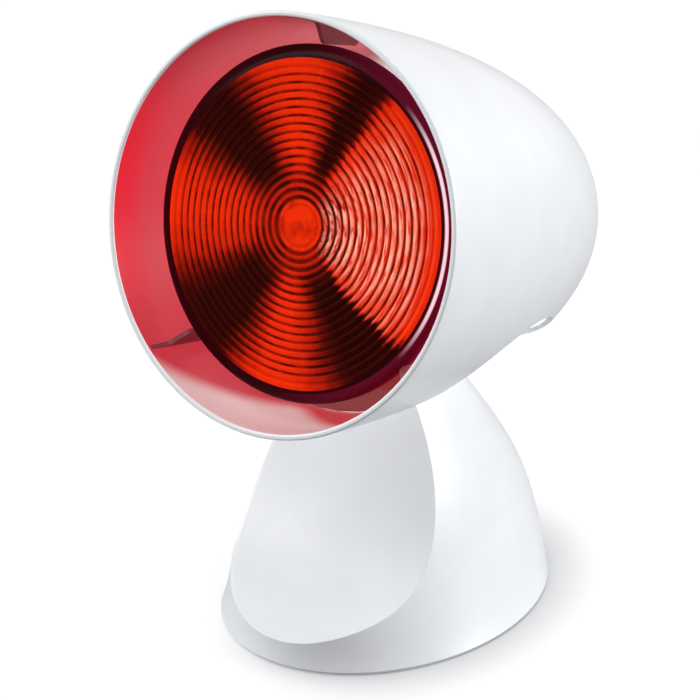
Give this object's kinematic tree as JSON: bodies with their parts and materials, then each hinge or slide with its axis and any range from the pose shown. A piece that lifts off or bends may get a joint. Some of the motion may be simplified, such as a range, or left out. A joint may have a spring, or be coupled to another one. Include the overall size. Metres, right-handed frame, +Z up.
{
  "type": "infrared heat therapy lamp",
  "caption": "Tabletop infrared heat lamp: a ribbed red reflector bulb recessed in a tilting, bell-shaped white shade on a scooped oval foot.",
  "frame": {"origin": "on the floor, under the centre of the lamp's bounding box", "axes": "+Z up, -Y the way the shade's mouth looks, +X to the lamp's left as it faces you"},
  "size_m": [0.1416, 0.1892, 0.2315],
  "materials": {
    "white_gloss": "moulded white plastic, glossy",
    "face_gloss": "moulded white plastic, glossy, left bare",
    "white_plug": "moulded white plastic",
    "dark_plastic": "dark moulded plastic, fine grain",
    "black_plastic": "black moulded plastic",
    "black_rubber": "soft black rubber",
    "ballast_iron": "bare cast iron",
    "steel": "zinc-plated steel",
    "saddle_nylon": "light grey moulded nylon",
    "porcelain": "glazed ceramic, stood in for by gloss plastic",
    "brass": "plain brass",
    "nickel_cap": "nickel-plated cap",
    "lead_cover": "braided heat-proof sleeve",
    "red_glass": "pressed ruby glass with rings",
    "mirror_glass": "pressed glass, mirrored inside",
    "black_glass": "black glass insulator",
    "clear_glass": "clear glass stem",
    "tungsten": "coiled tungsten wire"
  },
  "bodies": {
    "base": {"base_housing": "white_gloss", "front_cover": "face_gloss", "base_plate": "dark_plastic", "rubber_foot_1": "black_rubber", "rubber_foot_2": "black_rubber", "rubber_foot_3": "black_rubber", "rubber_foot_4": "black_rubber", "plate_screw_1": "steel", "plate_screw_2": "steel", "plate_screw_3": "steel", "plate_screw_4": "steel", "ballast_weight": "ballast_iron", "terminal_block": "porcelain", "supply_lead": "black_rubber", "hinge_axle": "steel", "friction_washer_1": "steel", "friction_washer_2": "steel", "axle_plug_1": "white_plug", "axle_plug_2": "white_plug", "switch_body": "dark_plastic", "cord_inlet": "black_rubber"},
    "head": {"head_shell": "white_gloss", "hinge_saddle": "saddle_nylon", "socket_bracket": "steel", "bracket_screw_1": "steel", "bracket_screw_2": "steel", "bracket_screw_3": "steel", "saddle_screw_1": "steel", "saddle_screw_2": "steel", "socket_screw_1": "steel", "socket_screw_2": "steel", "lamp_socket": "porcelain", "socket_thread": "brass", "socket_contact": "brass", "socket_lead": "lead_cover"},
    "bulb": {"bulb_lens": "red_glass", "bulb_reflector": "mirror_glass", "bulb_cap": "nickel_cap", "cap_insulator": "black_glass", "bulb_contact": "nickel_cap", "glass_stem": "clear_glass", "filament": "tungsten", "filament_support_1": "steel", "filament_support_2": "steel"},
    "rocker": {"switch_rocker": "black_plastic"}
  },
  "joints": [
    {"name": "head_tilt", "type": "hinge", "parent": "base", "child": "head", "pos_m": [0, -0.0055, 0.09], "axis": [1, 0, 0], "range_deg": [-20, 20]},
    {"name": "bulb_unscrew", "type": "slide", "parent": "head", "child": "bulb", "axis": [0, -0.9732, 0.23], "range_m": [0, 0.026]},
    {"name": "switch_rocker", "type": "hinge", "parent": "base", "child": "rocker", "pos_m": [0, 0.05573, 0.03774], "axis": [1, 0, 0], "range_deg": [0, 12]}
  ]
}
